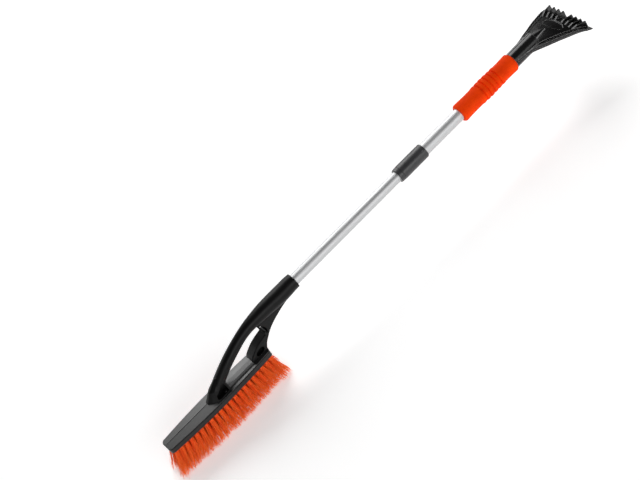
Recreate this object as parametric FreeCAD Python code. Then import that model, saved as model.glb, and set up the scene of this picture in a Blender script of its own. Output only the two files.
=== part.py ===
import FreeCAD, Part
import math
import os

# Telescopic snow brush: a tufted brush head on a bowed arm, a two-tube pole that telescopes and
# twists, a foam grip and an ice scraper.
# Frame: +X runs from the brush nose to the scraper, +Z is up and the bristle tips stand on Z = 0.
# The origin is under the middle of the whole length. Stations are distances from the brush nose
# along X. Rises are heights above the pole axis. All lengths are in millimetres.

V = FreeCAD.Vector

# Driving dimensions
POLE_HEIGHT = 122.0
BLOCK_LENGTH = 219.0
SCRAPER_TIP = 957.0
NOSE_FLARE = 10.0
TAIL_FLARE = 5.5
MIDDLE = (SCRAPER_TIP - NOSE_FLARE) / 2

# Brush block
BRISTLE_LENGTH = 50.0
BLOCK_THICKNESS = 10.0
BLOCK_TOP = BRISTLE_LENGTH + BLOCK_THICKNESS
WIDEST = 0.48
HALF_WIDTH = 18.2
NOSE_NARROWING = 5.4
TAIL_NARROWING = 4.2
NOSE_CORNER = 7.0
TAIL_CORNER = 4.0
SIDE_POINTS = 7
LAND = 3.0
LAND_DEPTH = 2.0
BRISTLE_INSET = 2.6
BRISTLE_SPLAY = 5.0

# Tufts
OUTER_TUFTS = 21
INNER_TUFTS = 20
TUFT_END = 7.0
TUFT_EDGE = 4.4
TUFT_INNER_ROW = 4.4
TUFT_RADIUS = 1.9
TUFT_HOLE_DEPTH = 6.0
STAPLE = (0.5, 2.6, 2.2)

# Cover on the block: (side, height over the block) corners of its two cross sections
COVER_LIP = 0.7
SEAM_HEIGHT = 0.7
SEAM_INSET = 2.0
COVER_ROOF = ((19.2, 1.4), (0.0, 3.3))
RIB_ROOF = ((19.2, 1.9), (9.4, 1.9), (8.2, 6.3), (0.0, 6.9))
RIB_START = 133.0
RIB_END = 190.0
CREASE = (3.0, 100.0)
CREASE_WIDTH = 1.1
CREASE_DEPTH = 2.0

# Bowed arm: station, rise and radius of its round sections
BOW_SECTIONS = (
    (101.0, -64.0, 10.2),
    (112.0, -54.0, 10.3),
    (127.0, -42.2, 10.0),
    (146.0, -29.8, 9.6),
    (166.0, -19.0, 9.5),
    (187.0, -9.5, 9.3),
    (208.0, -2.5, 9.5),
    (230.0, 0.3, 11.1),
    (252.0, 1.0, 12.8),
    (275.0, 0.2, 13.9),
    (298.0, 0.0, 14.0),
    (318.7, 0.0, 13.2),
)
SOCKET_END = 318.7
SOCKET_DEPTH = 60.0
ARM_HALF_WIDTH = 9.6
ARM_ROUNDING = 2.2
# rear leg of the arm, inner side from the block up to the finger opening
LEG_INNER = (
    (186.5, -57.0),
    (190.0, -50.5),
    (196.0, -46.0),
    (203.0, -41.6),
    (212.0, -37.6),
    (229.5, -33.0),
)
LUG_TOP = ((229.5, -28.4), (232.6, -27.4))
SLIT = ((232.6, -31.6), (235.0, -31.6))
# rounded end of the finger opening, from the slit up to the bow
OPENING_END = ((235.0, -31.6), (236.8, -21.0), (226.0, -8.0))
# rear leg, outer side from the socket down to the block
LEG_OUTER = (
    (297.0, -11.0),
    (281.0, -14.1),
    (266.0, -19.4),
    (253.0, -25.0),
    (242.4, -31.4),
    (232.0, -40.4),
    (221.5, -51.5),
)
LEG_BURIED_RISE = -2.0
LEG_BURIED_START = 230.0
LEG_HEEL = (219.5, -55.0)
# front foot: rise, then the (station, side) corners of its outline there
FOOT_OUTLINES = (
    (-62.0, ((88.6, 3.5), (96.0, 9.7), (105.5, 13.6), (112.5, 15.8), (134.5, 13.6))),
    (-44.0, ((103.4, 1.8), (106.5, 4.8), (111.0, 7.8), (117.0, 9.8), (134.5, 9.8))),
    (-30.0, ((124.8, 0.8), (127.5, 2.6), (130.0, 4.2), (134.0, 6.8), (141.0, 8.4))),
)
FRONT_POCKET = ((107.5, -58.6), (109.3, -51.6), (128.6, -39.4), (131.0, -46.0), (131.2, -58.6))
FRONT_POCKET_FLOOR = 4.6
REAR_POCKET = (207.3, -50.9)
REAR_POCKET_SIZE = (9.2, 6.0)
REAR_POCKET_FLOOR = 3.4
REAR_POCKET_TILT = 15.0

# Screws
SCREW_RADIUS = 1.5
SCREW_HEAD_RADIUS = 2.9
SCREW_HEAD_HEIGHT = 2.0
DRIVE_LENGTH = 3.4
DRIVE_WIDTH = 0.7
DRIVE_DEPTH = 1.1
FRONT_SCREW = (125.5, 9.2)
REAR_SCREW = (205.5, 7.2)
SCREW_SEAT_RISE = -58.6
FOOT_SCREW_LENGTH = 7.6
COVER_SCREW_COLUMNS = (2, 7, 15)
COVER_SCREW_SINK = 1.0
COVER_SCREW_LENGTH = 7.6
SOCKET_SCREW = 306.0
SOCKET_SEAT_RISE = -12.2
NECK_SCREW = 850.0
NECK_SEAT_RISE = -12.4

# Telescoping tubes and twist lock
INNER_TUBE_RADIUS = 9.5
INNER_TUBE_WALL = 0.8
OUTER_TUBE_RADIUS = 11.0
OUTER_TUBE_WALL = 0.9
OUTER_BORE = OUTER_TUBE_RADIUS - OUTER_TUBE_WALL
COLLAR_START = 554.0
COLLAR_END = 615.0
COLLAR_RADIUS = 13.0
OUTER_TUBE_START = 559.0
OUTER_TUBE_END = 868.0
BUSH_FACE = 555.2
BUSH_LENGTH = 38.0
RUNNING_FIT = 0.05
INNER_TUBE_END = 598.0
PLUG_DEPTH = 24.0
PLUG_FLANGE = 3.0
CONE_LENGTH = 18.0
CONE_SMALL = 4.5
CONE_LARGE = 6.4
PIN_LENGTH = 2.8
KEEPER_THICKNESS = 2.0
KEEPER_RADIUS = 8.0
SLIDE = 173.0

# Grip and scraper
GRIP_START = 699.0
GRIP_END = 825.6
GRIP_RADIUS = 17.0
GRIP_ROUNDING = 4.5
GRIP_WAIST = 0.7
GROOVE_FIRST = 749.5
GROOVE_PITCH = 9.0
GROOVES = 5
GROOVE_DEPTH = 1.7
NECK_RADIUS = 13.8
NECK_STEP = 878.0
DIMPLE_STATION = 609.0
DIMPLE_ANGLE = 46.0
# blade: station, half width, upper rise on the centre line, upper rise at the side, lower rise
BLADE_SECTIONS = (
    (846.0, 12.6, 3.4, 3.0, -3.0),
    (862.0, 17.0, 4.8, 2.6, -4.2),
    (872.0, 21.0, 5.0, 1.2, -5.8),
    (886.0, 26.3, 4.0, -1.8, -8.4),
    (905.0, 33.6, 0.4, -5.6, -11.6),
    (922.0, 39.4, -5.2, -9.8, -15.6),
    (937.0, 44.8, -11.2, -14.4, -19.4),
    (948.0, 49.6, -18.2, -19.6, -23.4),
    (956.0, 52.8, -24.0, -24.2, -25.8),
)
# rims along the blade's side: where they leave the neck, and the fine ridge's side at each section
RIM_START = (832.0, 10.4, 12.2, 4.2)
RIM_WIDTH = 1.7
RIM_OVERHANG = 0.4
RIM_HEIGHT = 1.6
RIDGE_START = (829.0, 12.2, 13.8, 4.8)
RIDGE_SIDES = (15.2, 16.6, 20.3, 27.0, 33.0, 37.4, 39.6)
RIDGE_WIDTH = 1.4
RIDGE_PROUD = 1.6
CHANNEL_DEPTH = 0.8
LINE_ROOT = 3.0
CHANNEL_CLEARANCE = 6.0
TOOTH_CREST = ((927.0, -10.8), (941.0, -8.2), (956.2, -11.6), (957.0, -25.6), (940.0, -21.0))
TOOTH_ROOTS = (7.6, 17.0, 26.6, 36.0)
TOOTH_TIPS = (9.6, 20.2, 30.8, 41.2)
TOOTH_ROOT_STATION = 937.0
TOOTH_TIP_STATION = 956.0
TOOTH_THICKNESS = 2.6
BADGE = (922.0, 21.5, 10.2)
BADGE_DEPTH = 1.5
BADGE_CHAMFER = 1.2
# hollow behind the neck's step: (station, rise of its centre, radius) at both ends
DISH_ENDS = ((876.0, 9.5, 13.0), (905.5, 2.6, 2.4))
CORE_WALL = 2.6
CORE_FIRST = 4


def point(station, side, rise):
    """A point at a station along the pole, offset sideways, at a rise over the pole axis."""
    return V(station - MIDDLE, side, POLE_HEIGHT + rise)


def write(name, shape):
    """Writes one node."""
    if not shape.isValid():
        raise ValueError(name + " isn't a valid solid")
    shape.exportStep("parts/" + name + ".step")
    print(name, round(shape.Volume), "mm3", len(shape.Solids), "solid(s)")


def polygon(points):
    """A closed face through corner points."""
    return Part.Face(Part.makePolygon(list(points) + [points[0]]))


def rod(radius, start, end, bore=0.0):
    """A round bar or tube on the pole axis between two stations."""
    bar = Part.makeCylinder(radius, end - start, point(start, 0, 0), V(1, 0, 0))
    if bore:
        bar = bar.cut(Part.makeCylinder(bore, end - start, point(start, 0, 0), V(1, 0, 0)))
    return bar


def turned(profile):
    """A body turned about the pole axis from (station, radius) corners."""
    return polygon([point(s, 0, r) for s, r in profile]).revolve(point(0, 0, 0), V(1, 0, 0), 360)


def spline(points):
    """A smooth open edge through points."""
    curve = Part.BSplineCurve()
    curve.interpolate(points)
    return curve.toShape()


def mirrored(shape):
    """The shape's twin on the other side of the middle plane."""
    return shape.mirror(V(0, 0, 0), V(0, 1, 0))


def block_half_width(station):
    """Half width of the boat-shaped block at a station."""
    t = station / BLOCK_LENGTH
    if t < WIDEST:
        return HALF_WIDTH - NOSE_NARROWING * (1 - t / WIDEST) ** 2
    return HALF_WIDTH - TAIL_NARROWING * ((t - WIDEST) / (1 - WIDEST)) ** 2


def boat_face(z, inset, nose=0.0, tail=0.0):
    """The block's outline at height z, inset all round, with its ends moved out by nose and tail."""
    first = inset - nose
    last = BLOCK_LENGTH - inset + tail
    side = []
    for i in range(SIDE_POINTS):
        u = i / (SIDE_POINTS - 1)
        x = NOSE_CORNER + first + u * (last - first - NOSE_CORNER - TAIL_CORNER)
        width = block_half_width(NOSE_CORNER + u * (BLOCK_LENGTH - NOSE_CORNER - TAIL_CORNER))
        side.append(V(x - MIDDLE, width - inset, z))
    nose_half = side[0].y - 0.75 * NOSE_CORNER
    tail_half = side[-1].y - TAIL_CORNER
    nose_end = V(first - MIDDLE, nose_half, z)
    tail_end = V(last - MIDDLE, tail_half, z)
    nose_mid = V(first + 0.25 * NOSE_CORNER - MIDDLE, side[0].y - 0.22 * NOSE_CORNER, z)
    tail_mid = V(last - 0.29 * TAIL_CORNER - MIDDLE, side[-1].y - 0.29 * TAIL_CORNER, z)
    half = [
        Part.Arc(nose_end, nose_mid, side[0]).toShape(),
        spline(side),
        Part.Arc(side[-1], tail_mid, tail_end).toShape(),
    ]
    ends = [
        Part.makeLine(V(nose_end.x, -nose_half, z), nose_end),
        Part.makeLine(tail_end, V(tail_end.x, -tail_half, z)),
    ]
    edges = half + [mirrored(edge) for edge in half] + ends
    return Part.Face(Part.Wire(Part.__sortEdges__(edges)))


def tuft_column(number):
    """Station of a tuft column, counted from the nose. Inner tufts stand at the half numbers."""
    return TUFT_END + (BLOCK_LENGTH - 2 * TUFT_END) * number / (OUTER_TUFTS - 1)


def tuft_places():
    """Centres of the tuft holes as (station, side): two outer rows and two staggered inner rows."""
    places = []
    for i in range(OUTER_TUFTS):
        station = tuft_column(i)
        side = block_half_width(station) - TUFT_EDGE
        places += [(station, side), (station, -side)]
    for i in range(INNER_TUFTS):
        places += [(tuft_column(i + 0.5), TUFT_INNER_ROW), (tuft_column(i + 0.5), -TUFT_INNER_ROW)]
    return places


def screw(x, y, seat, length, down=True):
    """A pan-head screw on a vertical axis with its head's underside at height seat."""
    way = -1 if down else 1
    base = V(x, y, seat)
    head = Part.makeCylinder(SCREW_HEAD_RADIUS, SCREW_HEAD_HEIGHT, base, V(0, 0, -way))
    rim = [e for e in head.Edges if abs(e.BoundBox.Center.z - seat + way * SCREW_HEAD_HEIGHT) < 0.01]
    head = head.makeFillet(0.8, [e for e in rim if e.Closed])
    shank = Part.makeCylinder(SCREW_RADIUS, length, base, V(0, 0, way))
    crown = seat - way * SCREW_HEAD_HEIGHT
    floor = crown - DRIVE_DEPTH if down else crown
    corner = V(x - DRIVE_LENGTH / 2, y - DRIVE_WIDTH / 2, floor)
    bar = Part.makeBox(DRIVE_LENGTH, DRIVE_WIDTH, DRIVE_DEPTH, corner)
    cross = bar.fuse(bar.rotated(V(x, y, 0), V(0, 0, 1), 90))
    return head.fuse(shank).cut(cross)


def brush_block():
    """The tufted base, with a recessed land for the cover and blind tuft holes below."""
    body = boat_face(BRISTLE_LENGTH, 0).extrude(V(0, 0, BLOCK_THICKNESS))
    rims = [e for e in body.Edges if e.BoundBox.ZMax < BRISTLE_LENGTH + 0.01]
    body = body.makeFillet(1.4, rims)
    land = boat_face(BLOCK_TOP - LAND_DEPTH, LAND).extrude(V(0, 0, LAND_DEPTH))
    holes = []
    for station, side in tuft_places():
        base = V(station - MIDDLE, side, BRISTLE_LENGTH)
        holes.append(Part.makeCylinder(TUFT_RADIUS, TUFT_HOLE_DEPTH, base))
    return body.cut(land).cut(Part.makeCompound(holes))


def roof_bar(first, last, roof):
    """A symmetric bar on the block's top between two stations, under its roof's corners."""
    half = [V(first - MIDDLE, side, BLOCK_TOP + height) for side, height in roof]
    feet = V(first - MIDDLE, roof[0][0], BLOCK_TOP)
    other = [V(p.x, -p.y, p.z) for p in reversed(half[:-1])]
    return polygon([feet] + half + other + [V(feet.x, -feet.y, feet.z)]).extrude(V(last - first, 0, 0))


def crease():
    """The fine groove along the cover's ridge."""
    start, end = CREASE
    floor = BLOCK_TOP + COVER_ROOF[-1][1] - CREASE_DEPTH
    corner = V(start - MIDDLE, -CREASE_WIDTH / 2, floor)
    return Part.makeBox(end - start, CREASE_WIDTH, 2 * CREASE_DEPTH, corner)


def block_cover():
    """The ridged top shell with its rib, its shadow gap and the spigot that locates it in the block."""
    roof = roof_bar(0, RIB_START, COVER_ROOF).fuse([
        roof_bar(RIB_START, RIB_END, RIB_ROOF),
        roof_bar(RIB_END, BLOCK_LENGTH, COVER_ROOF),
    ])
    tall = RIB_ROOF[-1][1] + 1
    upper = boat_face(BLOCK_TOP + SEAM_HEIGHT, COVER_LIP).extrude(V(0, 0, tall))
    lower = boat_face(BLOCK_TOP, SEAM_INSET).extrude(V(0, 0, tall))
    spigot = boat_face(BLOCK_TOP - LAND_DEPTH, LAND + 0.1).extrude(V(0, 0, LAND_DEPTH))
    return roof.common(upper.fuse(lower)).fuse(spigot).cut(crease())


def tuft_staples():
    """Flat wire anchors, one across the bottom of each tuft hole."""
    across, along, tall = STAPLE
    top = BRISTLE_LENGTH + TUFT_HOLE_DEPTH
    anchors = []
    for station, side in tuft_places():
        corner = V(station - MIDDLE - along / 2, side - across / 2, top - tall)
        anchors.append(Part.makeBox(along, across, tall, corner))
    return Part.makeCompound(anchors)


def bristle_field():
    """The space that the flared bristles fill, from the block to the ground."""
    top = boat_face(BRISTLE_LENGTH, BRISTLE_INSET).OuterWire
    nose = NOSE_FLARE - BRISTLE_SPLAY
    tail = TAIL_FLARE - BRISTLE_SPLAY
    tips = boat_face(0, -BRISTLE_SPLAY, nose, tail).OuterWire
    return Part.makeLoft([tips, top], True, True)


def bow():
    """The round bowed bar that grows into the pole socket."""
    rings = []
    last = len(BOW_SECTIONS) - 1
    for i, (station, rise, radius) in enumerate(BOW_SECTIONS):
        before = BOW_SECTIONS[max(i - 1, 0)]
        after = BOW_SECTIONS[min(i + 1, last)]
        pitch = math.degrees(math.atan2(after[1] - before[1], after[0] - before[0]))
        ring = Part.makeCircle(radius, V(0, 0, 0), V(1, 0, 0))
        ring.rotate(V(0, 0, 0), V(0, 1, 0), 0 if i == last else -pitch)
        ring.translate(point(station, 0, rise))
        rings.append(Part.Wire(ring))
    return Part.makeLoft(rings, True, False)


def rear_leg():
    """The flat leg behind the finger opening, with its lug and slit, as one rounded plate."""
    def at(pair):
        return point(pair[0], -ARM_HALF_WIDTH, pair[1])
    base_rise = BLOCK_TOP - POLE_HEIGHT
    lines = [LEG_INNER[-1], *LUG_TOP, *SLIT]
    buried = [OPENING_END[2], (LEG_BURIED_START, LEG_BURIED_RISE), (LEG_OUTER[0][0], LEG_BURIED_RISE)]
    buried.append(LEG_OUTER[0])
    foot = [LEG_OUTER[-1], LEG_HEEL, (LEG_HEEL[0], base_rise), (LEG_INNER[0][0], base_rise), LEG_INNER[0]]
    edges = [
        spline([at(p) for p in LEG_INNER]),
        *Part.makePolygon([at(p) for p in lines]).Edges,
        Part.Arc(*[at(p) for p in OPENING_END]).toShape(),
        *Part.makePolygon([at(p) for p in buried]).Edges,
        spline([at(p) for p in LEG_OUTER]),
        *Part.makePolygon([at(p) for p in foot]).Edges,
    ]
    plate = Part.Face(Part.Wire(edges)).extrude(V(0, 2 * ARM_HALF_WIDTH, 0))
    rounded = []
    for edge in plate.Edges:
        box = edge.BoundBox
        long_curve = edge.Length > 40 and box.YLength < 0.01 and box.ZMin > BLOCK_TOP
        if long_curve:
            rounded.append(edge)
    return plate.makeFillet(ARM_ROUNDING, rounded)


def front_foot():
    """The spearhead foot that spreads the bow's lower end over the block."""
    rings = []
    for rise, outline in FOOT_OUTLINES:
        points = [point(s, w, rise) for s, w in outline]
        points += [point(s, -w, rise) for s, w in reversed(outline)]
        rings.append(Part.makePolygon(points + points[:1]))
    return Part.makeLoft(rings, True, True)


def pockets():
    """Screw pockets cored out of both sides of both feet."""
    depth = 20.0
    triangle = polygon([point(s, FRONT_POCKET_FLOOR, r) for s, r in FRONT_POCKET])
    front = triangle.extrude(V(0, depth, 0))
    upright = [e for e in front.Edges if e.BoundBox.YLength > depth - 0.1]
    front = front.makeFillet(1.5, upright)
    station, rise = REAR_POCKET
    oval = Part.Ellipse(V(0, 0, 0), *REAR_POCKET_SIZE).toShape()
    oval.rotate(V(0, 0, 0), V(0, 0, 1), REAR_POCKET_TILT)
    oval.rotate(V(0, 0, 0), V(1, 0, 0), 90)
    oval.translate(point(station, REAR_POCKET_FLOOR, rise))
    rear = Part.Face(Part.Wire(oval)).extrude(V(0, depth, 0))
    foot = point(REAR_SCREW[0], REAR_SCREW[1], SCREW_SEAT_RISE)
    seat = Part.makeCylinder(SCREW_HEAD_RADIUS + 0.4, 6.0, foot)
    cuts = [front, rear, seat]
    return cuts + [mirrored(cut) for cut in cuts]


def foot_screw_places():
    """Screw axes in the feet."""
    return [(s, w * way) for s, w in (FRONT_SCREW, REAR_SCREW) for way in (1, -1)]


def handle_arm(cover, block, screws):
    """Bow, rear leg and front foot as one moulding, seated on the cover, bored for the pole."""
    arm = bow().fuse([rear_leg(), front_foot()])
    arm = arm.cut(rod(INNER_TUBE_RADIUS, SOCKET_END - SOCKET_DEPTH, SOCKET_END))
    below = Part.makeBox(250, 100, BLOCK_TOP, V(-MIDDLE, -50, 0))
    return arm.cut(pockets()).cut([below, cover, block, screws])


def foot_screws():
    """Four pan-head screws that hold the arm's feet to the block."""
    group = []
    for station, side in foot_screw_places():
        group.append(screw(station - MIDDLE, side, POLE_HEIGHT + SCREW_SEAT_RISE, FOOT_SCREW_LENGTH))
    return Part.makeCompound(group)


def cover_screws():
    """Three screws driven up through the block into the cover's ridge."""
    seat = BRISTLE_LENGTH + SCREW_HEAD_HEIGHT + COVER_SCREW_SINK
    group = []
    for column in COVER_SCREW_COLUMNS:
        group.append(screw(tuft_column(column) - MIDDLE, 0, seat, COVER_SCREW_LENGTH, down=False))
    return Part.makeCompound(group)


def cover_screw_sinks():
    """Counterbores in the block's underside for the cover screws' heads."""
    group = []
    for column in COVER_SCREW_COLUMNS:
        base = V(tuft_column(column) - MIDDLE, 0, BRISTLE_LENGTH)
        depth = SCREW_HEAD_HEIGHT + COVER_SCREW_SINK
        group.append(Part.makeCylinder(SCREW_HEAD_RADIUS + 0.2, depth, base))
    return group


def inner_tube(*fasteners):
    """The thin tube that is fixed in the arm's socket and slides in the outer tube."""
    bore = INNER_TUBE_RADIUS - INNER_TUBE_WALL
    tube = rod(INNER_TUBE_RADIUS, SOCKET_END - SOCKET_DEPTH, INNER_TUBE_END, bore)
    return tube.cut(fasteners)


def radial_screw(station, seat_rise, length):
    """A screw driven straight up into the pole from below."""
    return screw(station - MIDDLE, 0, POLE_HEIGHT + seat_rise, length, down=False)


def counterbore(station, seat_rise):
    """Room for a radial screw's head, open downwards."""
    return Part.makeCylinder(SCREW_HEAD_RADIUS + 0.2, 10, point(station, 0, seat_rise - 10))


def lock_stations():
    """Stations of the plug flange's outer face, the cone's end and the keeper screw's end."""
    flange = INNER_TUBE_END + PLUG_FLANGE
    cone = flange + CONE_LENGTH
    return flange, cone, cone + KEEPER_THICKNESS + SCREW_HEAD_HEIGHT


def plug_pins():
    """Two short pins that hold the lock plug in the inner tube."""
    station = INNER_TUBE_END - PLUG_DEPTH / 2
    outer = INNER_TUBE_RADIUS - 0.2
    pin = Part.makeCylinder(SCREW_RADIUS, PIN_LENGTH, point(station, outer - PIN_LENGTH, 0), V(0, 1, 0))
    return Part.makeCompound([pin, mirrored(pin)])


def keeper_screw():
    """The screw on the pole axis that holds the keeper washer on the plug."""
    cone = lock_stations()[1]
    end = lock_stations()[2]
    seat = cone + KEEPER_THICKNESS
    body = turned([(cone - 13, 0), (cone - 13, 1.4), (seat, 1.4), (seat, 3.4), (end, 3.4), (end, 0)])
    slot = Part.makeBox(DRIVE_DEPTH, 5, 0.8, point(end - DRIVE_DEPTH, -2.5, -0.4))
    return body.cut(slot)


def keeper_washer(fastener):
    """The disc that keeps the expander ring on the plug's cone."""
    cone = lock_stations()[1]
    return rod(KEEPER_RADIUS, cone, cone + KEEPER_THICKNESS).cut(fastener)


def lock_plug(pins, fastener):
    """The moulded plug in the inner tube's end, with the flange and cone of the twist lock."""
    flange, cone, _ = lock_stations()
    body = INNER_TUBE_RADIUS - INNER_TUBE_WALL
    profile = [
        (INNER_TUBE_END - PLUG_DEPTH, 0),
        (INNER_TUBE_END - PLUG_DEPTH, body),
        (INNER_TUBE_END, body),
        (INNER_TUBE_END, OUTER_BORE - 0.3),
        (flange, OUTER_BORE - 0.3),
        (flange, CONE_LARGE),
        (cone, CONE_SMALL),
        (cone, 0),
    ]
    return turned(profile).cut([pins, fastener])


def expander_ring():
    """The split ring on the plug's cone. It turns with the outer tube and grips its bore."""
    flange, cone, _ = lock_stations()
    gap = 0.3
    outer = OUTER_BORE - RUNNING_FIT
    inner_large = CONE_LARGE + RUNNING_FIT
    inner_small = CONE_SMALL + RUNNING_FIT
    ring = turned([
        (flange + gap, inner_large),
        (flange + gap, outer - 0.6),
        (flange + gap + 0.6, outer),
        (cone - gap - 0.6, outer),
        (cone - gap, outer - 0.6),
        (cone - gap, inner_small + 0.1),
    ])
    slit = Part.makeBox(CONE_LENGTH, 1.6, 20, point(flange, -0.8, 0))
    return ring.cut(slit)


def guide_bush():
    """The white nylon bush in the outer tube's mouth, running on the inner tube."""
    bore = INNER_TUBE_RADIUS + RUNNING_FIT
    end = OUTER_TUBE_START + BUSH_LENGTH
    flange = rod(OUTER_TUBE_RADIUS, BUSH_FACE, OUTER_TUBE_START, bore)
    return flange.fuse(rod(OUTER_BORE, OUTER_TUBE_START, end, bore))


def collar_pin():
    """The recessed pin that fixes the collar on the outer tube."""
    angle = math.radians(DIMPLE_ANGLE)
    way = V(0, -math.cos(angle), math.sin(angle))
    inner = OUTER_BORE + 0.15
    start = point(DIMPLE_STATION, 0, 0) + way * inner
    return Part.makeCylinder(SCREW_RADIUS, COLLAR_RADIUS - 0.8 - inner, start, way)


def pin_hole():
    """The hole for the collar pin, from the tube's bore out through the collar."""
    angle = math.radians(DIMPLE_ANGLE)
    way = V(0, -math.cos(angle), math.sin(angle))
    return Part.makeCylinder(SCREW_RADIUS, COLLAR_RADIUS, point(DIMPLE_STATION, 0, 0) + way * 6, way)


def collar():
    """The sleeve over the outer tube's mouth, with a stepped band at its lower end."""
    band = COLLAR_START + 7.0
    sleeve = turned([
        (COLLAR_START, OUTER_TUBE_RADIUS),
        (COLLAR_START, COLLAR_RADIUS - 1.0),
        (COLLAR_START + 0.8, COLLAR_RADIUS - 0.5),
        (band, COLLAR_RADIUS - 0.1),
        (band + 0.3, COLLAR_RADIUS - 0.6),
        (band + 1.0, COLLAR_RADIUS - 0.6),
        (band + 1.5, COLLAR_RADIUS + 0.1),
        (COLLAR_END - 0.8, COLLAR_RADIUS),
        (COLLAR_END, COLLAR_RADIUS - 0.7),
        (COLLAR_END, OUTER_TUBE_RADIUS),
    ])
    return sleeve.cut(pin_hole())


def outer_tube(fastener):
    """The thicker tube that carries the collar, the grip and the scraper."""
    tube = rod(OUTER_TUBE_RADIUS, OUTER_TUBE_START, OUTER_TUBE_END, OUTER_BORE)
    return tube.cut([pin_hole(), fastener])


def foam_grip():
    """The foam sleeve with rounded ends, slight waists and ring grooves at its middle."""
    length = GRIP_END - GRIP_START
    waists = ((0, 0), (0.2, GRIP_WAIST), (0.5, 0.2), (0.8, GRIP_WAIST), (1, 0))
    top = spline([point(GRIP_START + length * t, 0, GRIP_RADIUS - dip) for t, dip in waists])
    inner = [point(GRIP_END, 0, OUTER_TUBE_RADIUS), point(GRIP_START, 0, OUTER_TUBE_RADIUS)]
    edges = [
        top,
        Part.makeLine(top.Vertexes[-1].Point, inner[0]),
        Part.makeLine(inner[0], inner[1]),
        Part.makeLine(inner[1], top.Vertexes[0].Point),
    ]
    sleeve = Part.Face(Part.Wire(edges)).revolve(point(0, 0, 0), V(1, 0, 0), 360)
    ends = [e for e in sleeve.Edges if e.Closed and e.BoundBox.ZLength > 2 * GRIP_RADIUS - 0.5]
    sleeve = sleeve.makeFillet(GRIP_ROUNDING, ends)
    for i in range(GROOVES):
        centre = point(GROOVE_FIRST + i * GROOVE_PITCH, 0, 0)
        sleeve = sleeve.cut(Part.makeTorus(GRIP_RADIUS + 0.1, GROOVE_DEPTH, centre, V(1, 0, 0)))
    return sleeve


def blade_ring(station, half, upper, side, lower):
    """One closed section across the blade, with a crowned top."""
    left = point(station, -half, side)
    right = point(station, half, side)
    return Part.Wire([
        Part.Arc(left, point(station, 0, upper), right).toShape(),
        Part.makeLine(right, point(station, half, lower)),
        Part.makeLine(point(station, half, lower), point(station, -half, lower)),
        Part.makeLine(point(station, -half, lower), left),
    ])


def blade_body():
    """The flared blade, curving down from the neck to a thin edge."""
    return Part.makeLoft([blade_ring(*section) for section in BLADE_SECTIONS], True, False)


def blade_strip(places, low, high):
    """A bar along the blade through (station, inner side, outer side, rise) places."""
    rings = []
    for station, inner, outer, rise in places:
        corners = [(inner, rise + low), (outer, rise + low), (outer, rise + high), (inner, rise + high)]
        points = [point(station, w, r) for w, r in corners]
        rings.append(Part.makePolygon(points + points[:1]))
    return Part.makeLoft(rings, True, True)


def blade_lines():
    """The rim on the blade's edge, the fine ridge inside it and the channel between them."""
    rim = [RIM_START]
    ridge = [RIDGE_START]
    channel = []
    for (station, half, upper, side, _), w in zip(BLADE_SECTIONS[1:-1], RIDGE_SIDES):
        inner = half + RIM_OVERHANG - RIM_WIDTH
        rise = side + (upper - side) * (1 - (w / half) ** 2)
        rim.append((station, inner, half + RIM_OVERHANG, side))
        ridge.append((station, w - RIDGE_WIDTH / 2, w + RIDGE_WIDTH / 2, rise))
        channel.append((station, w, inner, (rise + side) / 2))
    for line, height in ((rim, RIM_HEIGHT), (ridge, RIDGE_PROUD)):
        station, inner, outer, rise = line[-1]
        line[-1] = (station, inner, outer, rise - height + 0.3)
    channel = blade_strip(channel[1:-1], -CHANNEL_DEPTH, CHANNEL_CLEARANCE)
    return [blade_strip(rim, -LINE_ROOT, RIM_HEIGHT), blade_strip(ridge, -LINE_ROOT, RIDGE_PROUD)], channel


def tooth(root, tip):
    """One upright tooth on the blade's end, running from root to tip across its width."""
    run = TOOTH_TIP_STATION - TOOTH_ROOT_STATION
    turn = math.degrees(math.atan2(tip - root, run))
    outline = polygon([point(s, root - TOOTH_THICKNESS / 2, r) for s, r in TOOTH_CREST])
    body = outline.extrude(V(0, TOOTH_THICKNESS, 0))
    crest = [e for e in body.Edges if e.BoundBox.XLength > 15 and e.BoundBox.ZMin > POLE_HEIGHT - 13]
    body = body.makeFillet(0.7, crest)
    body.rotate(point(TOOTH_ROOT_STATION, root, 0), V(0, 0, 1), turn)
    return body


def badge_recess(blade):
    """The blade with the blank oval recess, which has a sloping wall."""
    station, half_width, half_length = BADGE
    oval = Part.Ellipse(V(0, 0, 0), half_width - BADGE_CHAMFER, half_length - BADGE_CHAMFER).toShape()
    oval.rotate(V(0, 0, 0), V(0, 0, 1), 90)
    oval.translate(point(station, 0, -12))
    plug = Part.Face(Part.Wire(oval)).extrude(V(0, 0, 30))
    cut = blade.cut(plug.cut(blade.translated(V(0, 0, -BADGE_DEPTH))))
    reach = half_length + 1
    left, right = point(station - reach, 0, 0).x, point(station + reach, 0, 0).x
    boxes = [(e, e.BoundBox) for e in cut.Edges]
    around = [(e, b) for e, b in boxes if b.XMin > left and b.XMax < right and b.XLength > half_length / 2]
    middle = sum(b.Center.z for _, b in around) / len(around)
    return cut.makeChamfer(BADGE_CHAMFER, [e for e, b in around if b.Center.z > middle])


def dish():
    """The pointed hollow behind the neck's step."""
    rings = []
    for station, rise, radius in DISH_ENDS:
        rings.append(Part.Wire(Part.makeCircle(radius, point(station, 0, rise), V(1, 0, 0))))
    scoop = Part.makeLoft(rings, True, True)
    return scoop.cut(Part.makeBox(NECK_STEP, 100, 100, point(0, -50, -50)))


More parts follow.
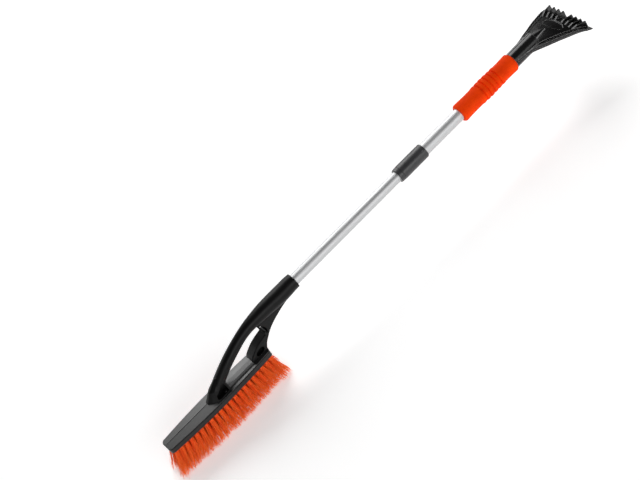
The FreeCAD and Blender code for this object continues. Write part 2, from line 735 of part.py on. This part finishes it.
def blade_core():
    """Three bays cored out of the blade's underside, leaving two stiffening walls."""
    rings = []
    for station, half, upper, side, _ in BLADE_SECTIONS[CORE_FIRST:7]:
        shift = -2 if station > BADGE[0] + 5 else 2
        roof = upper - CORE_WALL - 1
        rings.append(blade_ring(station + shift, half - 5, roof, side - CORE_WALL, -40))
    bays = Part.makeLoft(rings, True, False)
    walls = [Part.makeBox(80, 2, 60, point(870, side - 1, -45)) for side in (-12, 12)]
    return bays.cut(walls)


def scraper_head(fastener):
    """Neck, blade, rims and teeth as one moulding."""
    lines, channel = blade_lines()
    blade = badge_recess(blade_body()).cut([channel, mirrored(channel)])
    lines += [mirrored(line) for line in lines]
    teeth = [tooth(root, tip) for root, tip in zip(TOOTH_ROOTS, TOOTH_TIPS)]
    teeth += [mirrored(one) for one in teeth]
    neck = rod(NECK_RADIUS, GRIP_END, NECK_STEP)
    head = blade.fuse([neck] + lines + teeth).cut(dish())
    bore = rod(OUTER_TUBE_RADIUS, GRIP_END, OUTER_TUBE_END)
    seat = counterbore(NECK_SCREW, NECK_SEAT_RISE)
    return head.cut([blade_core(), bore, seat, fastener])


def neck_core(fastener):
    """The moulded core that backs the outer tube under the scraper's neck and ends the slide."""
    start = lock_stations()[2] + SLIDE + 1.5
    return rod(OUTER_BORE, start, OUTER_TUBE_END, 6.0).cut(fastener)


def main():
    """Builds and writes every node."""
    os.makedirs("parts", exist_ok=True)
    cover_fixings = cover_screws()
    foot_fixings = foot_screws()
    block = brush_block().cut(cover_screw_sinks() + [cover_fixings, foot_fixings])
    cover = block_cover().cut([cover_fixings, foot_fixings])
    socket_fixing = radial_screw(SOCKET_SCREW, SOCKET_SEAT_RISE, 4.6)
    neck_fixing = radial_screw(NECK_SCREW, NECK_SEAT_RISE, 5.6)
    pins = plug_pins()
    keeper = keeper_screw()
    arm = handle_arm(cover, block, foot_fixings)
    arm = arm.cut([counterbore(SOCKET_SCREW, SOCKET_SEAT_RISE), socket_fixing])
    write("brush_block", block)
    write("block_cover", cover)
    write("cover_screws", cover_fixings)
    write("tuft_staples", tuft_staples())
    write("bristle_field", bristle_field())
    write("handle_arm", arm)
    write("foot_screws", foot_fixings)
    write("socket_screw", socket_fixing)
    write("inner_tube", inner_tube(socket_fixing, pins))
    write("plug_pins", pins)
    write("lock_plug", lock_plug(pins, keeper))
    write("keeper_washer", keeper_washer(keeper))
    write("keeper_screw", keeper)
    write("expander_ring", expander_ring())
    write("guide_bush", guide_bush())
    write("collar", collar())
    write("collar_pin", collar_pin())
    write("outer_tube", outer_tube(neck_fixing))
    write("foam_grip", foam_grip())
    write("scraper_head", scraper_head(neck_fixing))
    write("neck_screw", neck_fixing)
    write("neck_core", neck_core(neck_fixing))


main()
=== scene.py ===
"""Studio scene of the snow broom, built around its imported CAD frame.

Metres, in the CAD's row frame: +X runs from the brush nose to the scraper, +Z is up and the bristle
tips stand on Z = 0. The rigid CAD nodes stay and get materials. The bristles and the foam grip are
modelled here.
"""

import math
import random

import bpy
from mathutils import Matrix, Vector, noise


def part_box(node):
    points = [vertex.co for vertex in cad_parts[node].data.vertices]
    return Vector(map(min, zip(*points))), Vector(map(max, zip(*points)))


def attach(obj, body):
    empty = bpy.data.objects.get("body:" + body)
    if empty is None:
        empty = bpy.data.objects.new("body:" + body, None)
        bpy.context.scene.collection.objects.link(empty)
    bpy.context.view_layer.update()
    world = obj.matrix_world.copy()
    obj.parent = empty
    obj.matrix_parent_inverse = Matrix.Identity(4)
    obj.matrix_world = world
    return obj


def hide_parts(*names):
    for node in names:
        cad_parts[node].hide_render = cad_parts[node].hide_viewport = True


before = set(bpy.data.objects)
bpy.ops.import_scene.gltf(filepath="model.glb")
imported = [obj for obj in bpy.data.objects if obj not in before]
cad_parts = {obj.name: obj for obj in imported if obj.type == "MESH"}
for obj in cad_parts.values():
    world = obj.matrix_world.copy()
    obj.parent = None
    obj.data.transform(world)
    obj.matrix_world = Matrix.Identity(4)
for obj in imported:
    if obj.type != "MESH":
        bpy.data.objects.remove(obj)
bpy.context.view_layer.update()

MM = 0.001

# Camera: the pole runs up to the right and its far end leans back from the lens.
LEAN = math.radians(10.7)
PITCH = math.radians(46.0)
FOCAL = 83.7
SENSOR = 36.0
AIM_BEHIND_TIP = 0.5635
AIM_OFFSET = 0.01524
DISTANCE = 2.33

# Bristles
STRANDS_PER_TUFT = 52
STRAND_CORNERS = 3
STRAND_TAPER = 0.25
STRAND_BEND = 1.25
STRAND_RADIUS = 0.23 * MM
STRAND_STEPS = 7
SPLAY = 1.5
NOSE_LEAN = 13.5 * MM
TAIL_LEAN = 8.5 * MM
# where along the block, from 0 at the nose to 1 at the tail, the lean sets in, and over what share
NOSE_FAN = (0.62, 0.5)
TAIL_FAN = (0.55, 0.42)
NOSE_SPREAD = 5.0 * MM
TAIL_SPREAD = 1.5 * MM
# spread of chance, as standard deviations: whole tufts and single strands, along X and Y
TUFT_STRAY = (0.7 * MM, 0.8 * MM)
STRAND_STRAY = (1.5 * MM, 1.2 * MM)
CRIMP = 0.45 * MM
CRIMP_WAVES = 15
HOLE_RADIUS = 1.75 * MM
TUFT_DEPTH = 1.5 * MM
TUFT_REACH = 2.5 * MM
INNER_ROWS = 9.0 * MM
FIRST_SEED = 11
TIP_SPREAD = 4.6 * MM
END_ZONE = 26.0 * MM
END_WIDENING = 1.9
RAGGED = 3.6 * MM
# most strands are cut nearly even and the rest shorter, as shares of the raggedness
EVEN_SHARE = 0.85
EVEN_CUT = 0.45
SHORT_CUT = (0.6, 2.0)
# tones from 0, deep, to 1, pale: at the root, how far a tuft and a strand stray, and gain at the tip
ROOT_TONE = 0.4
TUFT_TONE = 0.12
STRAND_TONE = 0.17
TIP_TONE = 0.66

# Foam grip
GRIP_RING = 96
GRIP_STEP = 0.5 * MM
GRIP_CORNER = 4.8 * MM
GRIP_WAIST = 0.8 * MM
GROOVE_FIRST = 50.5 * MM
GROOVE_PITCH = 9.0 * MM
GROOVES = 5
GROOVE_DEPTH = 3.1 * MM
GROOVE_HALF_WIDTH = 0.85 * MM
RIB_SWELL = 0.75 * MM
GRIP_INSET = 0.15 * MM
GRIP_LEAST_WALL = 0.2 * MM
# the skin's unevenness: height, least depth of foam that has it, and waves along and around
SKIN_SWELL = 0.12 * MM
SKIN_DEPTH = 1.0 * MM
SKIN_WAVES = (90, 1.6)

# Studio
FLOOR_SIZE = 9.0
FLOOR_GAP = 0.4 * MM
FLOOR_GLOW = 0.36
FLOOR_TONES = ((0.95, 0.95, 0.95), (0.97, 0.97, 0.97))
# soft boxes: name, place, target, size and power
LIGHTS = (
    ("BackBox", (0.7, 1.75, 1.7), (0.25, 0, 0.1), (2.0, 1.6), 47),
    ("FrontBox", (-0.2, -2.4, 1.12), (0, 0, 0.1), (3.4, 1.15), 37),
    ("SideBox", (-1.95, 1.8, 0.95), (-0.25, 0, 0.1), (1.1, 1.5), 6),
)
# the surroundings dim along an axis of the view direction: axis, start, end and what is left
DIMMING = (("Z", 0.06, 0.34, 0.13), ("X", 0.38, 0.6, 0.22))

# Colours
BLACK = 0.0042
FOAM_ORANGE = (0.98, 0.058, 0.0004)
BRISTLE_ORANGE = (0.99, 0.078, 0.0055)


def collection_add(obj):
    """Puts an object into the scene."""
    bpy.context.scene.collection.objects.link(obj)
    return obj


def mesh_object(name, verts, faces, smooth=True):
    """A mesh piece from vertex places and face corners."""
    mesh = bpy.data.meshes.new(name)
    mesh.from_pydata(verts, [], faces)
    mesh.polygons.foreach_set("use_smooth", [smooth] * len(mesh.polygons))
    mesh.update()
    return collection_add(bpy.data.objects.new(name, mesh))


# ---------------------------------------------------------------- materials

# the Mix node's sockets for colours
MIX_COLOURS = (6, 7)
MIX_RESULT = 2
BEVEL_SAMPLES = 4


def scaled(colour, factor, lift=0.0):
    """A colour times a factor, lifted a little."""
    return tuple(c * factor + lift for c in colour)


class Shader:
    """A material's node tree, built node by node around one Principled shader."""

    def __init__(self, name):
        self.material = bpy.data.materials.new(name)
        self.material.use_nodes = True
        self.tree = self.material.node_tree
        self.surface = self.tree.nodes["Principled BSDF"]
        self.place = self.node("ShaderNodeTexCoord").outputs["Object"]

    def node(self, kind, **inputs):
        """A new node with some of its inputs set or linked."""
        made = self.tree.nodes.new(kind)
        for key, value in inputs.items():
            self.put(made, key, value)
        return made

    def put(self, target, key, value):
        """Sets an input to a value, or links it to another node's output."""
        socket = target.inputs[key]
        if isinstance(value, bpy.types.NodeSocket):
            self.tree.links.new(value, socket)
        else:
            socket.default_value = value

    def set(self, **inputs):
        """Sets or links inputs of the Principled shader, with _ for a space in their names."""
        for key, value in inputs.items():
            self.put(self.surface, key.replace("_", " "), value)

    def stretched(self, scale):
        """Object coordinates scaled apart along the three axes."""
        made = self.node("ShaderNodeMapping", Vector=self.place)
        made.inputs["Scale"].default_value = scale
        return made.outputs["Vector"]

    def noise(self, scale, detail=2.0, vector=None, rough=0.5):
        """Cloudy noise with so many features to the metre."""
        made = self.node("ShaderNodeTexNoise", Scale=scale, Detail=detail, Roughness=rough)
        self.put(made, "Vector", vector or self.place)
        return made.outputs["Fac"]

    def cells(self, scale):
        """Distance from the middles of small cells."""
        made = self.node("ShaderNodeTexVoronoi", Scale=scale, Vector=self.place)
        return made.outputs["Distance"]

    def ramp(self, value, low, high, out_low=0.0, out_high=1.0):
        """Maps value from low..high to out_low..out_high, clamped."""
        made = self.node("ShaderNodeMapRange", Value=value)
        made.inputs["From Min"].default_value = low
        made.inputs["From Max"].default_value = high
        made.inputs["To Min"].default_value = out_low
        made.inputs["To Max"].default_value = out_high
        return made.outputs["Result"]

    def mix(self, factor, first, second):
        """Blend of two colours."""
        made = self.tree.nodes.new("ShaderNodeMix")
        made.data_type = "RGBA"
        self.put(made, 0, factor)
        for index, colour in zip(MIX_COLOURS, (first, second)):
            self.put(made, index, colour if isinstance(colour, bpy.types.NodeSocket) else (*colour, 1.0))
        return made.outputs[MIX_RESULT]

    def math(self, operation, first, second):
        """A sum or product of two values."""
        made = self.tree.nodes.new("ShaderNodeMath")
        made.operation = operation
        self.put(made, 0, first)
        self.put(made, 1, second)
        return made.outputs[0]

    def bump(self, height, strength, distance, normal=None):
        """Normals raised by a height."""
        made = self.node("ShaderNodeBump", Height=height, Strength=strength, Distance=distance)
        if normal is not None:
            self.put(made, "Normal", normal)
        return made.outputs["Normal"]

    def soft_edges(self, radius):
        """Normals that round the solid's sharp edges."""
        made = self.tree.nodes.new("ShaderNodeBevel")
        made.samples = BEVEL_SAMPLES
        made.inputs["Radius"].default_value = radius
        return made.outputs["Normal"]

    def edge_mask(self, rounded):
        """Near 1 along the solid's edges and 0 on its faces."""
        flat = self.tree.nodes.new("ShaderNodeNewGeometry").outputs["Normal"]
        made = self.tree.nodes.new("ShaderNodeVectorMath")
        made.operation = "DOT_PRODUCT"
        self.put(made, 0, rounded)
        self.put(made, 1, flat)
        return self.ramp(made.outputs["Value"], 1.0, 0.8)


def plastic(
    name, colour, rough, grain=1100.0, relief=0.35, edge=0.35 * MM, edge_wear_and_highlight=0.25, shine=0.36, edge_wear_and_highlight_lift=0.004
):
    """Moulded plastic: fine grain, cloudy gloss, a few rubbed patches, and paler edges that are partly
    wear and partly a painted highlight.
    """
    s = Shader(name)
    rounded = s.soft_edges(edge)
    clouds = s.noise(38.0, 3.0)
    grains = s.noise(grain, 3.0, rough=0.6)
    rubbed = s.ramp(s.noise(160.0, 5.0, s.stretched((0.35, 1.0, 1.0))), 0.56, 0.74)
    body = s.mix(s.ramp(clouds, 0.35, 0.65), scaled(colour, 0.8), colour)
    broken = s.ramp(s.noise(260.0, 4.0), 0.35, 0.7, 0.75 * edge_wear_and_highlight, edge_wear_and_highlight)
    # paler along the rounded edges: partly wear, partly a painted highlight where the edges catch the
    # soft boxes
    edges = s.math("MULTIPLY", s.edge_mask(rounded), broken)
    face = s.mix(s.math("MULTIPLY", rubbed, 0.18), body, scaled(colour, 1.8, 0.004))
    lighter = tuple(min(1.0, c) for c in scaled(colour, 1.7, edge_wear_and_highlight_lift))
    s.set(Base_Color=s.mix(edges, face, lighter))
    gloss = s.math("ADD", clouds, s.math("MULTIPLY", grains, 0.6))
    s.set(Roughness=s.ramp(gloss, 0.5, 1.1, rough - 0.05, rough + 0.07))
    s.set(Normal=s.bump(grains, relief, 0.03 * MM, rounded))
    s.set(IOR=1.5)
    s.set(Specular_IOR_Level=shine)
    return s.material


def drawn_metal(name, colour, rough):
    """Satin anodised tube: fine lines drawn along X, faint mottling and a few handling marks."""
    s = Shader(name)
    lines = s.noise(1.0, 4.0, s.stretched((6.0, 1500.0, 1500.0)), rough=0.7)
    haze = s.noise(24.0, 4.0, s.stretched((0.5, 2.0, 2.0)))
    marks = s.ramp(s.noise(700.0, 2.0, s.stretched((0.25, 1.0, 1.0))), 0.66, 0.74)
    tone = s.mix(s.ramp(lines, 0.3, 0.7), scaled(colour, 0.94), colour)
    s.set(Base_Color=s.mix(s.math("MULTIPLY", marks, 0.25), tone, scaled(colour, 0.72)))
    s.set(Metallic=1.0)
    gloss = s.math("ADD", haze, s.math("MULTIPLY", lines, 0.5))
    s.set(Roughness=s.ramp(gloss, 0.45, 1.05, rough - 0.05, rough + 0.07))
    s.set(Normal=s.bump(lines, 0.25, 0.02 * MM, s.soft_edges(0.2 * MM)))
    return s.material


def screw_metal(name, colour, rough):
    """Zinc-plated steel with a cloudy, slightly scratched skin."""
    s = Shader(name)
    clouds = s.noise(420.0, 4.0)
    scratches = s.noise(2400.0, 2.0, s.stretched((0.2, 1.0, 1.0)))
    s.set(Base_Color=s.mix(s.ramp(clouds, 0.35, 0.7), scaled(colour, 0.7), colour))
    s.set(Metallic=1.0)
    s.set(Roughness=s.ramp(s.math("ADD", clouds, scratches), 0.7, 1.3, rough - 0.08, rough + 0.12))
    s.set(Normal=s.bump(scratches, 0.3, 0.01 * MM, s.soft_edges(0.15 * MM)))
    return s.material


def foam(name, colour):
    """Closed-cell foam: fine pores darkened with painted shade, uneven dye and a dry skin."""
    s = Shader(name)
    pores = s.cells(950.0)
    skin = s.noise(900.0, 4.0, rough=0.65)
    dye = s.noise(55.0, 4.0)
    dark = tuple(c * f for c, f in zip(colour, (0.86, 0.72, 0.7)))
    pale = (min(1.0, colour[0] * 1.03), colour[1] * 1.25 + 0.004, colour[2] * 1.3 + 0.001)
    tone = s.mix(s.ramp(dye, 0.35, 0.68), dark, colour)
    tone = s.mix(s.ramp(skin, 0.52, 0.72, 0.0, 0.35), tone, pale)
    # the pores are darkened: painted shade in the pits
    tone = s.mix(s.ramp(pores, 0.0, 0.4, 0.55, 0.0), tone, scaled(colour, 0.5))
    s.set(Base_Color=tone)
    s.set(Roughness=s.ramp(skin, 0.3, 0.7, 0.66, 0.82))
    s.set(Specular_IOR_Level=0.07)
    height = s.math("ADD", s.math("MULTIPLY", pores, 0.9), skin)
    s.set(Normal=s.bump(height, 0.6, 0.14 * MM))
    return s.material


def bristle_plastic(name, colour):
    """Polypropylene filament: every strand has its own tone and pales a little towards its cut tip."""
    s = Shader(name)
    tone = s.tree.nodes.new("ShaderNodeAttribute")
    tone.attribute_name = "tone"
    deep = tuple(c * f for c, f in zip(colour, (0.9, 0.62, 0.5)))
    pale = (1.0, colour[1] * 2.4, colour[2] * 5.0)
    streaks = s.noise(1.0, 3.0, s.stretched((1800.0, 1800.0, 260.0)))
    blend = s.math("ADD", tone.outputs["Fac"], s.ramp(streaks, 0.3, 0.7, -0.12, 0.12))
    s.set(Base_Color=s.mix(s.ramp(blend, 0.0, 1.0), deep, pale))
    s.set(Roughness=s.ramp(streaks, 0.3, 0.7, 0.42, 0.56))
    s.set(Specular_IOR_Level=0.12)
    s.set(Normal=s.bump(streaks, 0.2, 0.02 * MM))
    return s.material


def paint_frame():
    """Gives every CAD node its material."""
    looks = {
        plastic("BlockBlack", (BLACK * 1.3,) * 3, 0.34, shine=0.36, edge_wear_and_highlight_lift=0.02): ["brush_block"],
        # the cover's black is lighter than the block's, partly a painted highlight standing in for the
        # soft box's sheen on its top
        plastic("CoverBlackPaintedSheen", (BLACK * 3.0,) * 3, 0.34, shine=0.92, edge_wear_and_highlight_lift=0.03): ["block_cover"],
        plastic("ArmBlack", (BLACK * 0.6,) * 3, 0.37, shine=0.17): ["handle_arm"],
        # the scraper's wide, very pale edges are mostly a painted highlight on its teeth, ridge and rim,
        # partly wear
        plastic(
            "ScraperBlack", (BLACK * 0.8,) * 3, 0.24, grain=620.0, relief=0.12,
            edge=0.75 * MM, edge_wear_and_highlight=1.0, shine=0.42, edge_wear_and_highlight_lift=0.5,
        ): ["scraper_head"],
        plastic("CollarGrey", (0.034, 0.035, 0.037), 0.36, shine=0.5): ["collar"],
        plastic("BushWhite", (0.80, 0.80, 0.78), 0.42, edge_wear_and_highlight=0.1): ["guide_bush"],
        plastic("LockNylon", (0.62, 0.62, 0.58), 0.5, edge_wear_and_highlight=0.1): ["lock_plug", "expander_ring"],
        plastic("CoreBlack", (BLACK * 2.5,) * 3, 0.55): ["neck_core"],
        drawn_metal("TubeInner", (0.6, 0.605, 0.61), 0.54): ["inner_tube"],
        drawn_metal("TubeOuter", (0.61, 0.615, 0.62), 0.54): ["outer_tube"],
        screw_metal("ScrewBlack", (0.035, 0.035, 0.036), 0.38): [
            "foot_screws", "socket_screw", "neck_screw",
        ],
        screw_metal("ScrewSteel", (0.55, 0.55, 0.56), 0.32): ["cover_screws", "keeper_screw"],
        screw_metal("StapleSteel", (0.66, 0.65, 0.62), 0.36): ["tuft_staples"],
        screw_metal("PinSteel", (0.16, 0.16, 0.17), 0.4): ["plug_pins", "collar_pin", "keeper_washer"],
    }
    for look, nodes in looks.items():
        for node in nodes:
            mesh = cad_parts[node].data
            mesh.materials.clear()
            mesh.materials.append(look)


# ---------------------------------------------------------------- bristles


def tuft_roots():
    """Centres of the tufts in plan, from the staples that anchor them."""
    roots = []
    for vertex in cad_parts["tuft_staples"].data.vertices:
        for root in roots:
            if abs(root[0] - vertex.co.x) < TUFT_REACH and abs(root[1] - vertex.co.y) < TUFT_REACH:
                root[2].append((vertex.co.x, vertex.co.y))
                break
        else:
            roots.append((vertex.co.x, vertex.co.y, [(vertex.co.x, vertex.co.y)]))
    centres = []
    for _, _, places in roots:
        xs = [p[0] for p in places]
        ys = [p[1] for p in places]
        centres.append(((min(xs) + max(xs)) / 2, (min(ys) + max(ys)) / 2))
    return sorted(centres)


def ease(t):
    """A smooth step from 0 to 1."""
    t = max(0.0, min(1.0, t))
    return t * t * (3 - 2 * t)


def strand(verts, faces, root, tip, draw):
    """One crimped filament with a three-sided section, from the hole to its cut tip."""
    turn = draw.uniform(0, math.tau)
    wave = draw.uniform(0, math.tau)
    sway = Vector((math.cos(turn), math.sin(turn), 0))
    first = len(verts)
    for step in range(STRAND_STEPS + 1):
        t = step / STRAND_STEPS
        lateral = t ** STRAND_BEND
        centre = Vector((
            root.x + (tip.x - root.x) * lateral,
            root.y + (tip.y - root.y) * lateral,
            root.z + (tip.z - root.z) * t,
        ))
        centre += sway * CRIMP * t * math.sin(wave + CRIMP_WAVES * t)
        radius = STRAND_RADIUS * (1 - STRAND_TAPER * t)
        for corner in range(STRAND_CORNERS):
            angle = turn + corner * math.tau / STRAND_CORNERS
            verts.append(centre + Vector((math.cos(angle), math.sin(angle), 0)) * radius)
    for step in range(STRAND_STEPS):
        low = first + STRAND_CORNERS * step
        high = low + STRAND_CORNERS
        for corner in range(STRAND_CORNERS):
            following = (corner + 1) % STRAND_CORNERS
            faces.append((low + corner, high + corner, high + following, low + following))
    end = first + STRAND_CORNERS * STRAND_STEPS
    faces.append((first, first + 1, first + 2))
    faces.append((end + 2, end + 1, end))


def tuft_lean(station):
    """How far a tuft's tips lean along X, outwards at both ends of the block."""
    nose = NOSE_LEAN * ease((NOSE_FAN[0] - station) / NOSE_FAN[1])
    tail = TAIL_LEAN * ease((station - TAIL_FAN[0]) / TAIL_FAN[1])
    return tail - nose


def cut_short(draw):
    """How far a strand's tip ends above the ground. A few strands are cut much shorter."""
    if draw.random() < EVEN_SHARE:
        return abs(draw.gauss(0, EVEN_CUT)) * RAGGED
    return draw.uniform(*SHORT_CUT) * RAGGED


def strand_ends(place, shift, widening, box, draw):
    """One strand's root in its tuft's hole, and its cut tip."""
    low, high = box
    angle = draw.uniform(0, math.tau)
    out = math.sqrt(draw.random())
    around = Vector((math.cos(angle), math.sin(angle), 0)) * out
    root = Vector((*place, high.z + TUFT_DEPTH)) + around * HOLE_RADIUS
    stray = Vector((draw.gauss(0, STRAND_STRAY[0]), draw.gauss(0, STRAND_STRAY[1]), 0))
    spread = around * TIP_SPREAD + stray
    spread.y *= widening
    spread.x *= math.sqrt(widening)
    tip = Vector((root.x + shift[0], root.y + shift[1], low.z + cut_short(draw))) + spread
    tip.x = min(max(tip.x, low.x - NOSE_SPREAD), high.x + TAIL_SPREAD)
    return root, tip


def bristles(name, roots, seed):
    """The strands of several tufts as one piece."""
    low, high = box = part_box("bristle_field")
    draw = random.Random(seed)
    verts, faces, tones = [], [], []
    for x, y in roots:
        lean = tuft_lean((x - low.x) / (high.x - low.x))
        shift = (lean + draw.gauss(0, TUFT_STRAY[0]), y * (SPLAY - 1) + draw.gauss(0, TUFT_STRAY[1]))
        tuft_tone = draw.uniform(-TUFT_TONE, TUFT_TONE)
        widening = END_WIDENING if min(x - low.x, high.x - x) < END_ZONE else 1.0
        for _ in range(STRANDS_PER_TUFT):
            root, tip = strand_ends((x, y), shift, widening, box, draw)
            first = len(verts)
            strand(verts, faces, root, tip, draw)
            tone = ROOT_TONE + tuft_tone + draw.gauss(0, STRAND_TONE)
            for i in range(len(verts) - first):
                share = (i // STRAND_CORNERS) / STRAND_STEPS
                tones.append(tone + TIP_TONE * share ** 2)
    made = mesh_object(name, verts, faces, smooth=False)
    layer = made.data.attributes.new("tone", "FLOAT", "POINT")
    layer.data.foreach_set("value", tones)
    return made


def build_bristles():
    """Outer and inner rows, in place of the plain CAD field."""
    roots = tuft_roots()
    rows = {
        "bristles_outer": [r for r in roots if abs(r[1]) > INNER_ROWS],
        "bristles_inner": [r for r in roots if abs(r[1]) <= INNER_ROWS],
    }
    look = bristle_plastic("BristleOrange", BRISTLE_ORANGE)
    for seed, (name, places) in enumerate(rows.items(), FIRST_SEED):
        made = bristles(name, places, seed)
        made.data.materials.append(look)
        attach(made, "head")
        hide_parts("bristle_field")


# ---------------------------------------------------------------- foam grip


def grip_profile(length, radius, inner):
    """(along, radius) places of the foam sleeve's outside, from end to end."""
    grooves = [GROOVE_FIRST + i * GROOVE_PITCH for i in range(GROOVES)]
    steps = int(length / GRIP_STEP)
    profile = []
    for i in range(steps + 1):
        s = length * i / steps
        r = radius - GRIP_WAIST * math.sin(math.pi * (2 * s / length) % math.pi)
        end = min(s, length - s)
        if end < GRIP_CORNER:
            r -= GRIP_CORNER - math.sqrt(max(0.0, GRIP_CORNER ** 2 - (GRIP_CORNER - end) ** 2))
        if grooves[0] - GROOVE_PITCH < s < grooves[-1] + GROOVE_PITCH:
            r += RIB_SWELL * math.sin(math.pi * ((s - grooves[0]) / GROOVE_PITCH % 1.0))
        for centre in grooves:
            r -= GROOVE_DEPTH * math.exp(-(((s - centre) / GROOVE_HALF_WIDTH) ** 2))
        profile.append((s, max(r, inner + GRIP_LEAST_WALL)))
    return profile


def build_grip():
    """The foam sleeve with its ring grooves and soft, slightly uneven skin."""
    low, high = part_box("foam_grip")
    tube_low, tube_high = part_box("outer_tube")
    centre = Vector((low.x, 0, (low.z + high.z) / 2))
    inner = (tube_high.z - tube_low.z) / 2
    radius = (high.z - low.z) / 2 - GRIP_INSET
    profile = grip_profile(high.x - low.x, radius, inner)
    rings = [(0.0, inner)] + profile + [(high.x - low.x, inner)]
    along, around = SKIN_WAVES
    verts, faces = [], []
    for s, r in rings:
        for k in range(GRIP_RING):
            angle = math.tau * k / GRIP_RING
            way = Vector((0, math.cos(angle), math.sin(angle)))
            swell = 0.0
            if r > inner + SKIN_DEPTH:
                swell = SKIN_SWELL * noise.noise(Vector((s * along, way.y * around, way.z * around)))
            verts.append(centre + Vector((s, 0, 0)) + way * (r + swell))
    count = len(rings)
    for i in range(count):
        j = (i + 1) % count
        for k in range(GRIP_RING):
            following = (k + 1) % GRIP_RING
            near, far = i * GRIP_RING, j * GRIP_RING
            faces.append((near + k, near + following, far + following, far + k))
    made = mesh_object("grip_foam", verts, faces)
    made.data.materials.append(foam("FoamOrange", FOAM_ORANGE))
    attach(made, "pole")
    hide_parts("foam_grip")


# ---------------------------------------------------------------- studio


def build_camera():
    """Camera beside the pole, looking down on it, with the pole across the picture's diagonal."""
    cl, sl = math.cos(LEAN), math.sin(LEAN)
    cp, sp = math.cos(PITCH), math.sin(PITCH)
    along = Vector((cl, -cp * sl, sp * sl))
    across = Vector((0, -sp, -cp))
    ahead = Vector((sl, cp * cl, -sp * cl))
    right = (along + across).normalized()
    up = (along - across).normalized()
    low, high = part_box("inner_tube")
    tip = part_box("scraper_head")[1].x
    aim = Vector((tip - AIM_BEHIND_TIP, 0, (low.z + high.z) / 2))
    place = aim - across * AIM_OFFSET - ahead * DISTANCE
    data = bpy.data.cameras.new("Camera")
    data.lens = FOCAL
    data.sensor_width = SENSOR
    camera = collection_add(bpy.data.objects.new("Camera", data))
    turn = Matrix((right, up, -ahead)).transposed().to_4x4()
    camera.matrix_world = Matrix.Translation(place) @ turn
    bpy.context.scene.camera = camera


def area_light(name, place, target, size, power):
    """A soft box at a place, turned to a target. The camera doesn't see it."""
    data = bpy.data.lights.new(name, "AREA")
    data.shape = "RECTANGLE"
    data.size, data.size_y = size
    data.energy = power
    lamp = collection_add(bpy.data.objects.new(name, data))
    lamp.location = place
    lamp.rotation_euler = (Vector(target) - Vector(place)).to_track_quat("-Z", "Y").to_euler()
    lamp.visible_camera = False


def build_floor():
    """The pale floor under the bristle tips."""
    size = FLOOR_SIZE
    corners = [(-size, -size), (size, -size), (size, size), (-size, size)]
    floor = mesh_object("floor", [Vector((x, y, -FLOOR_GAP)) for x, y in corners], [(0, 1, 2, 3)], False)
    s = Shader("FloorPale")
    s.set(Base_Color=s.mix(s.ramp(s.noise(3.0), 0.3, 0.7), *FLOOR_TONES))
    s.set(Roughness=0.9)
    s.set(Emission_Color=(1, 1, 1, 1))
    s.set(Emission_Strength=FLOOR_GLOW)
    floor.data.materials.append(s.material)


def build_world():
    """White surroundings that dim overhead and beyond the scraper's end."""
    world = bpy.data.worlds.new("Studio")
    world.use_nodes = True
    tree = world.node_tree
    background = tree.nodes["Background"]
    direction = tree.nodes.new("ShaderNodeTexCoord")
    split = tree.nodes.new("ShaderNodeSeparateXYZ")
    tree.links.new(direction.outputs["Generated"], split.inputs["Vector"])
    dimmed = tree.nodes.new("ShaderNodeMath")
    dimmed.operation = "MULTIPLY"
    for index, (axis, start, end, dim) in enumerate(DIMMING):
        ramp = tree.nodes.new("ShaderNodeMapRange")
        tree.links.new(split.outputs[axis], ramp.inputs["Value"])
        ramp.inputs["From Min"].default_value = start
        ramp.inputs["From Max"].default_value = end
        ramp.inputs["To Min"].default_value = 1.0
        ramp.inputs["To Max"].default_value = dim
        tree.links.new(ramp.outputs["Result"], dimmed.inputs[index])
    tree.links.new(dimmed.outputs[0], background.inputs["Strength"])
    background.inputs["Color"].default_value = (1, 1, 1, 1)
    bpy.context.scene.world = world
    bpy.context.scene.view_settings.view_transform = "Standard"


def build_studio():
    """Floor, soft boxes and surroundings."""
    build_floor()
    for light in LIGHTS:
        area_light(*light)
    build_world()


paint_frame()
build_bristles()
build_grip()
build_camera()
build_studio()
